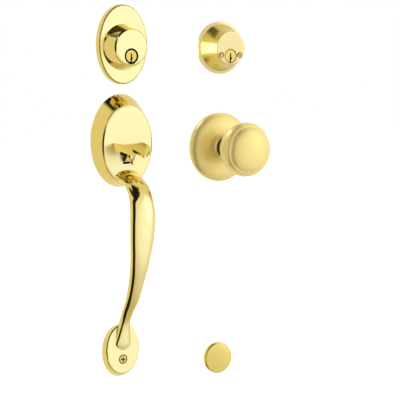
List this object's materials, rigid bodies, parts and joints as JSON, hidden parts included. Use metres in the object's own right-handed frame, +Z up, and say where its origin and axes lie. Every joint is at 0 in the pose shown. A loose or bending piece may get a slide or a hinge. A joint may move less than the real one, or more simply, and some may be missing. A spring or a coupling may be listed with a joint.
{
  "type": "entry door handleset",
  "caption": "Brass entry door handleset: pull handle with thumbpiece, keyed deadbolt cylinders for outside and inside, round inside knob, and a domed bolt cap.",
  "frame": {"origin": "on the door face at the latch, midway between the two posts of the outside handle", "axes": "+Z up, +X to the right, -Y out of the door towards the viewer; every piece has its back in the plane Y = 0"},
  "size_m": [0.2059, 0.1205, 0.4253],
  "materials": {
    "polished_brass": "mirror polished and lacquered",
    "plain_brass": "plain machined brass",
    "steel": "zinc plated",
    "dark_steel": "dark spring steel"
  },
  "bodies": {
    "trim": {"deadbolt_plate": "polished_brass", "deadbolt_housing": "polished_brass", "deadbolt_driver_pins": "plain_brass", "deadbolt_pin_springs": "steel", "deadbolt_pin_cover": "plain_brass", "handle_casting": "polished_brass", "thumbpiece_pin": "steel", "thumbpiece_spring": "steel", "latch_bracket": "steel", "latch_rivet": "dark_steel", "lower_screw": "polished_brass", "inner_housing": "polished_brass", "inner_driver_pins": "plain_brass", "inner_pin_springs": "steel", "inner_pin_cover": "plain_brass", "inner_screws": "polished_brass", "knob_rose": "polished_brass", "rose_plate": "steel", "rose_screws": "steel", "knob_spring": "steel", "bolt_cap": "polished_brass", "cap_barrel": "steel"},
    "outer_plug": {"deadbolt_plug": "plain_brass", "deadbolt_key_pins": "plain_brass", "deadbolt_clip": "dark_steel", "deadbolt_tailpiece": "steel"},
    "inner_plug": {"inner_plug": "plain_brass", "inner_key_pins": "plain_brass", "inner_clip": "dark_steel", "inner_tailpiece": "steel"},
    "thumbpiece": {"thumbpiece": "polished_brass"},
    "latch_lever": {"latch_lever": "steel"},
    "knob": {"knob_shell": "polished_brass", "knob_shank": "steel", "knob_spindle": "steel", "knob_clip": "dark_steel"}
  },
  "joints": [
    {"name": "outer_plug_turn", "type": "hinge", "parent": "trim", "child": "outer_plug", "pos_m": [0, 0, 0.1042], "axis": [0, 1, 0], "range_deg": [-90, 90]},
    {"name": "inner_plug_turn", "type": "hinge", "parent": "trim", "child": "inner_plug", "pos_m": [0.129, 0, 0.1048], "axis": [0, 1, 0], "range_deg": [-90, 90]},
    {"name": "thumbpiece_press", "type": "hinge", "parent": "trim", "child": "thumbpiece", "pos_m": [0, -0.009, -0.012], "axis": [1, 0, 0], "range_deg": [0, 12], "stiffness_Nm_per_rad": 0.4, "springref_deg": -20.05},
    {"name": "latch_lever_turn", "type": "hinge", "parent": "trim", "child": "latch_lever", "pos_m": [-0.01, 0.0072, 0.003], "axis": [0, -1, 0], "range_deg": [0, 18]},
    {"name": "knob_turn", "type": "hinge", "parent": "trim", "child": "knob", "pos_m": [0.129, 0, 0], "axis": [0, 1, 0], "range_deg": [-55, 55], "stiffness_Nm_per_rad": 0.3}
  ],
  "couplings": [
    {"joint": "latch_lever_turn", "follows": "thumbpiece_press", "ratio": 1.5}
  ]
}
